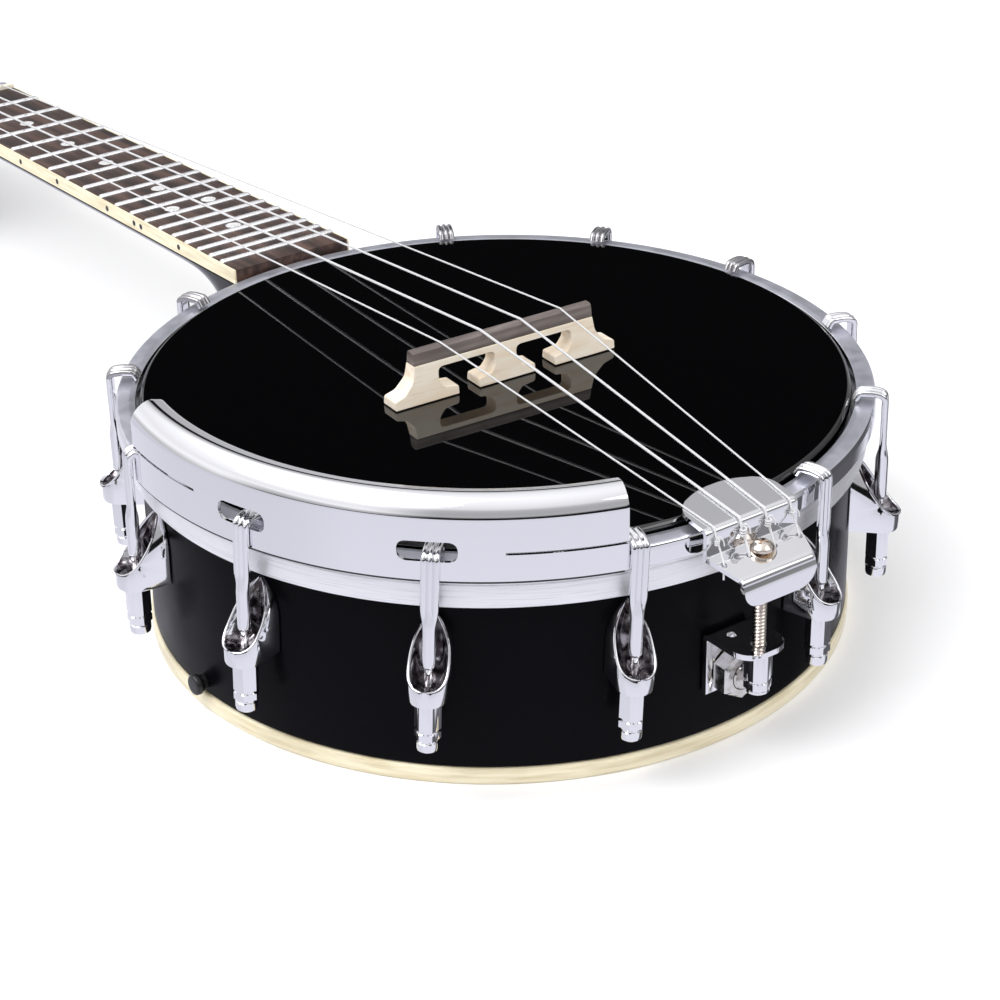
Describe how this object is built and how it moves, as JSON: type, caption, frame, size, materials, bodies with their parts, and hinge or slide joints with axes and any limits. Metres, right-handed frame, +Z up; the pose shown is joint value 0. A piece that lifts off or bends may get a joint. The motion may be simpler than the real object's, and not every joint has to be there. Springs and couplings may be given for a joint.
{
  "type": "banjo",
  "caption": "Short-scale closed-back banjo with a black pot, chrome hooks and armrest, three-footed bridge, fretted neck and geared tuners.",
  "frame": {"origin": "centre of the pot on the flat back of the instrument", "axes": "+Z up through the head, +Y along the neck towards the headstock, -X is the armrest side"},
  "size_m": [0.232, 0.5862, 0.0891],
  "materials": {
    "chrome": "mirror-bright chrome plate",
    "brushed_aluminium": "brushed along its length",
    "nickel": "polished, slightly warm",
    "zinc": "bright zinc plate",
    "black_lacquer": "satin-gloss black lacquer over wood",
    "neck_lacquer": "gloss black lacquer over wood",
    "black_film": "mirror-gloss black polyester film",
    "cream_binding": "aged cream, polished",
    "fretboard_cream": "light cream, polished",
    "maple": "bare, fine sanded",
    "ebony": "bare, fine sanded",
    "rosewood": "oiled, open grain",
    "bone": "polished",
    "nylon": "clear, polished",
    "black_plastic": "moulded, satin",
    "pearloid": "polished pearl plastic"
  },
  "bodies": {
    "instrument": {"rim": "black_lacquer", "back_plate": "black_lacquer", "back_binding": "cream_binding", "head": "black_film", "flesh_hoop": "brushed_aluminium", "tension_hoop": "chrome", "armrest": "chrome", "tailpiece": "chrome", "tail_bracket": "chrome", "tail_nut": "chrome", "coordinator_rod": "zinc", "rod_nut": "zinc", "strap_button": "black_plastic", "neck": "neck_lacquer", "fretboard": "rosewood", "fretboard_binding": "fretboard_cream", "string_nut": "bone", "bridge_body": "maple", "bridge_cap": "ebony", "hook_1": "chrome", "hook_2": "chrome", "hook_3": "chrome", "hook_4": "chrome", "hook_5": "chrome", "hook_6": "chrome", "hook_7": "chrome", "hook_8": "chrome", "hook_9": "chrome", "hook_10": "chrome", "hook_11": "chrome", "hook_12": "chrome", "shoe_1": "chrome", "shoe_2": "chrome", "shoe_3": "chrome", "shoe_4": "chrome", "shoe_5": "chrome", "shoe_6": "chrome", "shoe_7": "chrome", "shoe_8": "chrome", "shoe_9": "chrome", "shoe_10": "chrome", "shoe_11": "chrome", "shoe_12": "chrome", "tuner_housing_1": "chrome", "tuner_housing_2": "chrome", "tuner_housing_3": "chrome", "tuner_housing_4": "chrome", "string_1": "nylon", "string_2": "nylon", "string_3": "nylon", "string_4": "nylon"},
    "tuner_button_1": {"tuner_button_1": "pearloid"},
    "tuner_post_1": {"tuner_post_1": "chrome"},
    "tuner_button_2": {"tuner_button_2": "pearloid"},
    "tuner_post_2": {"tuner_post_2": "chrome"},
    "tuner_button_3": {"tuner_button_3": "pearloid"},
    "tuner_post_3": {"tuner_post_3": "chrome"},
    "tuner_button_4": {"tuner_button_4": "pearloid"},
    "tuner_post_4": {"tuner_post_4": "chrome"},
    "tail_screw": {"tail_screw": "nickel"}
  },
  "joints": [
    {"name": "tuner_button_1_turn", "type": "hinge", "parent": "instrument", "child": "tuner_button_1", "pos_m": [-0.015, 0.37801, 0.0336], "axis": [-1, 0, 0], "continuous": true},
    {"name": "tuner_post_1_turn", "type": "hinge", "parent": "instrument", "child": "tuner_post_1", "pos_m": [-0.015, 0.38262, 0.05131], "axis": [0, 0.2517, 0.9678], "continuous": true},
    {"name": "tuner_button_2_turn", "type": "hinge", "parent": "instrument", "child": "tuner_button_2", "pos_m": [-0.015, 0.41672, 0.02353], "axis": [-1, 0, 0], "continuous": true},
    {"name": "tuner_post_2_turn", "type": "hinge", "parent": "instrument", "child": "tuner_post_2", "pos_m": [-0.015, 0.42133, 0.04124], "axis": [0, 0.2517, 0.9678], "continuous": true},
    {"name": "tuner_button_3_turn", "type": "hinge", "parent": "instrument", "child": "tuner_button_3", "pos_m": [0.015, 0.41672, 0.02353], "axis": [1, 0, 0], "continuous": true},
    {"name": "tuner_post_3_turn", "type": "hinge", "parent": "instrument", "child": "tuner_post_3", "pos_m": [0.015, 0.42133, 0.04124], "axis": [0, 0.2517, 0.9678], "continuous": true},
    {"name": "tuner_button_4_turn", "type": "hinge", "parent": "instrument", "child": "tuner_button_4", "pos_m": [0.015, 0.37801, 0.0336], "axis": [1, 0, 0], "continuous": true},
    {"name": "tuner_post_4_turn", "type": "hinge", "parent": "instrument", "child": "tuner_post_4", "pos_m": [0.015, 0.38262, 0.05131], "axis": [0, 0.2517, 0.9678], "continuous": true},
    {"name": "tail_screw_turn", "type": "hinge", "parent": "instrument", "child": "tail_screw", "pos_m": [0, -0.1164, 0.05], "axis": [0, 0, 1], "continuous": true}
  ],
  "couplings": [
    {"joint": "tuner_post_1_turn", "follows": "tuner_button_1_turn", "ratio": 0.071429},
    {"joint": "tuner_post_2_turn", "follows": "tuner_button_2_turn", "ratio": 0.071429},
    {"joint": "tuner_post_3_turn", "follows": "tuner_button_3_turn", "ratio": 0.071429},
    {"joint": "tuner_post_4_turn", "follows": "tuner_button_4_turn", "ratio": 0.071429}
  ]
}
